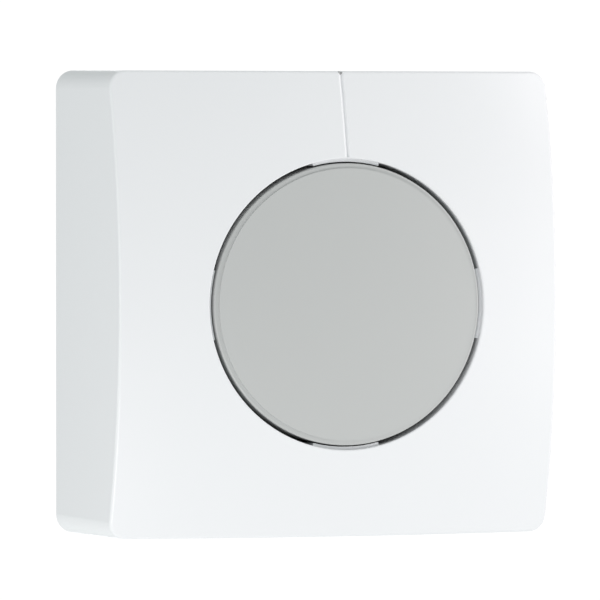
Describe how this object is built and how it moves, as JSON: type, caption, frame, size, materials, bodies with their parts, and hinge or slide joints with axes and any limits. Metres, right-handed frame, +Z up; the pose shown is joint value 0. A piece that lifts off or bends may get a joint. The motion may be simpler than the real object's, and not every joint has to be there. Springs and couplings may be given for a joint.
{
  "type": "twilight switch",
  "caption": "Square surface-mounted twilight switch: domed clip-on cover, round lens disc over the light sensor, plug-in sensor unit with dials, wall base with relay.",
  "frame": {"origin": "centre of the rear face, in the plane of the wall", "axes": "+Z up, +Y into the wall, the front looks along -Y, +X to the right as seen from the front"},
  "size_m": [0.095, 0.0475, 0.095],
  "materials": {
    "cover_white": "satin moulded plastic, traffic white",
    "lens_grey": "satin grey translucent plastic",
    "base_white": "fine moulded texture",
    "housing_grey": "fine moulded texture",
    "rubber_grey": "soft rubber",
    "seal_foam": "closed-cell foam",
    "board_green": "green solder mask",
    "zinc_steel": "zinc plated",
    "brass": "plain",
    "terminal_grey": "moulded",
    "relay_case": "moulded",
    "black_plastic": "moulded",
    "bobbin_white": "moulded",
    "copper_wire": "enamelled copper wire",
    "soft_iron": "nickel plated iron",
    "contact_alloy": "plated contact alloy",
    "capacitor_sleeve": "shrink sleeve",
    "fuse_brown": "moulded",
    "ferrite": "sintered ferrite",
    "winding_tape": "polyester tape",
    "film_yellow": "moulded box",
    "varistor_blue": "dipped lacquer",
    "sensor_black": "moulded",
    "lamp_white": "moulded",
    "clear_plastic": "polished clear plastic",
    "pot_blue": "moulded",
    "dip_red": "moulded",
    "dial_grey": "moulded",
    "rotor_white": "moulded"
  },
  "bodies": {
    "base": {"wall_base": "base_white", "rear_grommet": "rubber_grey", "bottom_grommet": "rubber_grey", "power_board": "board_green", "power_board_screws": "zinc_steel", "terminal_housing": "terminal_grey", "wire_clamps": "brass", "clamp_screws": "zinc_steel", "relay_case": "relay_case", "relay_base": "black_plastic", "relay_bobbin": "bobbin_white", "relay_coil": "copper_wire", "relay_core": "soft_iron", "relay_yoke": "soft_iron", "relay_fixed_contact": "contact_alloy", "bulk_capacitor": "capacitor_sleeve", "small_capacitor": "capacitor_sleeve", "fuse": "fuse_brown", "rectifier": "black_plastic", "transformer_core": "ferrite", "transformer_winding": "winding_tape", "film_capacitor": "film_yellow", "varistor": "varistor_blue", "choke": "ferrite", "board_socket": "black_plastic"},
    "sensor_unit": {"sensor_housing": "housing_grey", "lid_seal": "seal_foam", "lens_disc": "lens_grey", "logic_board": "board_green", "logic_board_screws": "zinc_steel", "pin_strip": "black_plastic", "connector_pins": "contact_alloy", "light_sensor": "sensor_black", "status_lamp": "lamp_white", "controller": "black_plastic", "sensor_light_guide": "clear_plastic", "lamp_light_guide": "clear_plastic", "threshold_potentiometer": "pot_blue", "time_potentiometer": "pot_blue", "dip_body": "dip_red"},
    "cover": {"front_cover": "cover_white"},
    "threshold_dial": {"threshold_dial": "dial_grey", "threshold_rotor": "rotor_white"},
    "time_dial": {"time_dial": "dial_grey", "time_rotor": "rotor_white"},
    "dip_slider_1": {"dip_slider_1": "rotor_white"},
    "dip_slider_2": {"dip_slider_2": "rotor_white"},
    "dip_slider_3": {"dip_slider_3": "rotor_white"},
    "dip_slider_4": {"dip_slider_4": "rotor_white"},
    "armature": {"relay_armature": "soft_iron", "relay_leaf": "contact_alloy"}
  },
  "joints": [
    {"name": "sensor_unit_pull", "type": "slide", "parent": "base", "child": "sensor_unit", "axis": [0, -1, 0], "range_m": [0, 0.035]},
    {"name": "cover_pull", "type": "slide", "parent": "sensor_unit", "child": "cover", "axis": [0, -1, 0], "range_m": [0, 0.06]},
    {"name": "threshold_turn", "type": "hinge", "parent": "sensor_unit", "child": "threshold_dial", "pos_m": [-0.03198, -0.0283, -0.03198], "axis": [0, -1, 0], "range_deg": [-135, 135]},
    {"name": "time_turn", "type": "hinge", "parent": "sensor_unit", "child": "time_dial", "pos_m": [0.03198, -0.0283, -0.03198], "axis": [0, -1, 0], "range_deg": [-135, 135]},
    {"name": "dip_1_slide", "type": "slide", "parent": "sensor_unit", "child": "dip_slider_1", "axis": [1, 0, 0], "range_m": [0, 0.002]},
    {"name": "dip_2_slide", "type": "slide", "parent": "sensor_unit", "child": "dip_slider_2", "axis": [1, 0, 0], "range_m": [0, 0.002]},
    {"name": "dip_3_slide", "type": "slide", "parent": "sensor_unit", "child": "dip_slider_3", "axis": [1, 0, 0], "range_m": [0, 0.002]},
    {"name": "dip_4_slide", "type": "slide", "parent": "sensor_unit", "child": "dip_slider_4", "axis": [1, 0, 0], "range_m": [0, 0.002]},
    {"name": "armature_pull", "type": "hinge", "parent": "base", "child": "armature", "pos_m": [-0.02053, -0.01505, 0.0158], "axis": [0, 0, 1], "range_deg": [0, 4], "stiffness_Nm_per_rad": 0.02}
  ]
}
